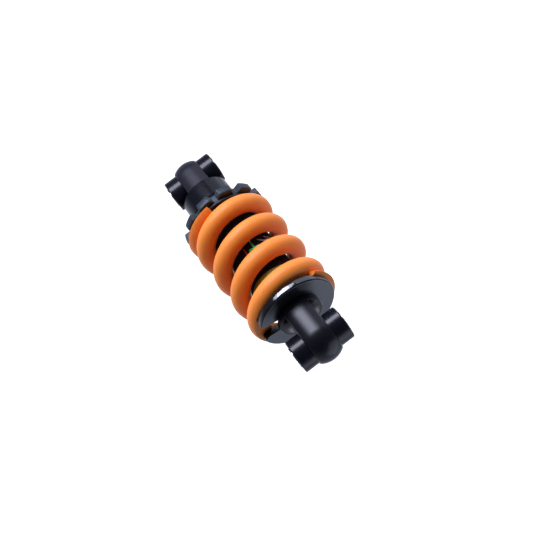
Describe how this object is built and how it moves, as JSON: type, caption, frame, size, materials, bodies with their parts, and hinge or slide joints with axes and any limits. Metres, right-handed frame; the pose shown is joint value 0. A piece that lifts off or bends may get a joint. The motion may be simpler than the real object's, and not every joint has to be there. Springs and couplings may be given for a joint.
{
  "type": "rear shock",
  "caption": "Compact coil-over rear shock with a cross-tube eye at each end, a lobed preload nut, an orange coil spring, a slotted spring seat and a sliding damper shaft.",
  "frame": {"origin": "centre of the damper-body eye's bolt hole", "axes": "+Z along the shock from the damper-body eye to the shaft eye, +X along both bolts, +Y completes the right-handed frame"},
  "size_m": [0.0473, 0.0472, 0.1482],
  "materials": {
    "eye_black": "gloss black powder coat",
    "tube_black": "gloss black anodised tube",
    "label_black": "gloss printed band",
    "nut_grey": "satin grey-black anodised",
    "spring_orange": "satin orange powder coat",
    "seat_black": "gloss black",
    "plain_steel": "zinc plated",
    "inner_aluminium": "machined",
    "rod_chrome": "hard chrome",
    "bearing_bronze": "bronze bearing strip",
    "bush_polymer": "moulded bush",
    "seal_rubber": "nitrile",
    "bump_olive": "moulded polyurethane"
  },
  "bodies": {
    "damper_body": {"body_eye": "eye_black", "body_eye_bush": "bush_polymer", "body_eye_seals": "seal_rubber", "fill_plug": "plain_steel", "head_o_ring": "seal_rubber", "damper_tube": "tube_black", "label_band": "label_black", "coil_spring": "spring_orange", "seal_head": "inner_aluminium", "rod_bush": "bearing_bronze", "rod_seal": "seal_rubber", "rod_wiper": "seal_rubber", "gland_o_ring": "seal_rubber", "circlip": "plain_steel", "bump_stop": "bump_olive"},
    "shaft": {"piston_rod": "rod_chrome", "piston": "inner_aluminium", "piston_band": "bearing_bronze", "compression_shims": "plain_steel", "rebound_shims": "plain_steel", "piston_nut": "plain_steel", "top_out_bumper": "seal_rubber", "spring_seat": "seat_black", "shaft_eye": "eye_black", "shaft_eye_bush": "bush_polymer", "shaft_eye_seals": "seal_rubber"},
    "body_sleeve": {"body_eye_sleeve": "plain_steel"},
    "shaft_sleeve": {"shaft_eye_sleeve": "plain_steel"},
    "preload_washer": {"thrust_washer": "nut_grey"},
    "preload_ring": {"preload_nut": "nut_grey"},
    "gas_piston": {"floating_piston": "inner_aluminium", "floating_o_ring": "seal_rubber"}
  },
  "joints": [
    {"name": "shaft_slide", "type": "slide", "parent": "damper_body", "child": "shaft", "axis": [0, 0, -1], "range_m": [0, 0.0125], "stiffness_N_per_m": 120000, "springref_m": -0.0005, "deforming": ["coil_spring"]},
    {"name": "gas_piston_slide", "type": "slide", "parent": "damper_body", "child": "gas_piston", "axis": [0, 0, -1], "range_m": [0, 0.002]},
    {"name": "nut_travel", "type": "slide", "parent": "damper_body", "child": "preload_washer", "axis": [0, 0, -1], "range_m": [0, 0.006]},
    {"name": "nut_spin", "type": "hinge", "parent": "preload_washer", "child": "preload_ring", "pos_m": [0, 0, 0.035], "axis": [0, 0, -1], "range_deg": [0, 1440]},
    {"name": "body_sleeve_turn", "type": "hinge", "parent": "damper_body", "child": "body_sleeve", "pos_m": [0, 0, 0], "axis": [1, 0, 0], "continuous": true},
    {"name": "shaft_sleeve_turn", "type": "hinge", "parent": "shaft", "child": "shaft_sleeve", "pos_m": [0, 0, 0.125], "axis": [1, 0, 0], "continuous": true}
  ],
  "couplings": [
    {"joint": "gas_piston_slide", "follows": "shaft_slide", "ratio": 0.1424},
    {"joint": "nut_spin", "follows": "nut_travel", "rad_per_m": 4188.8}
  ]
}
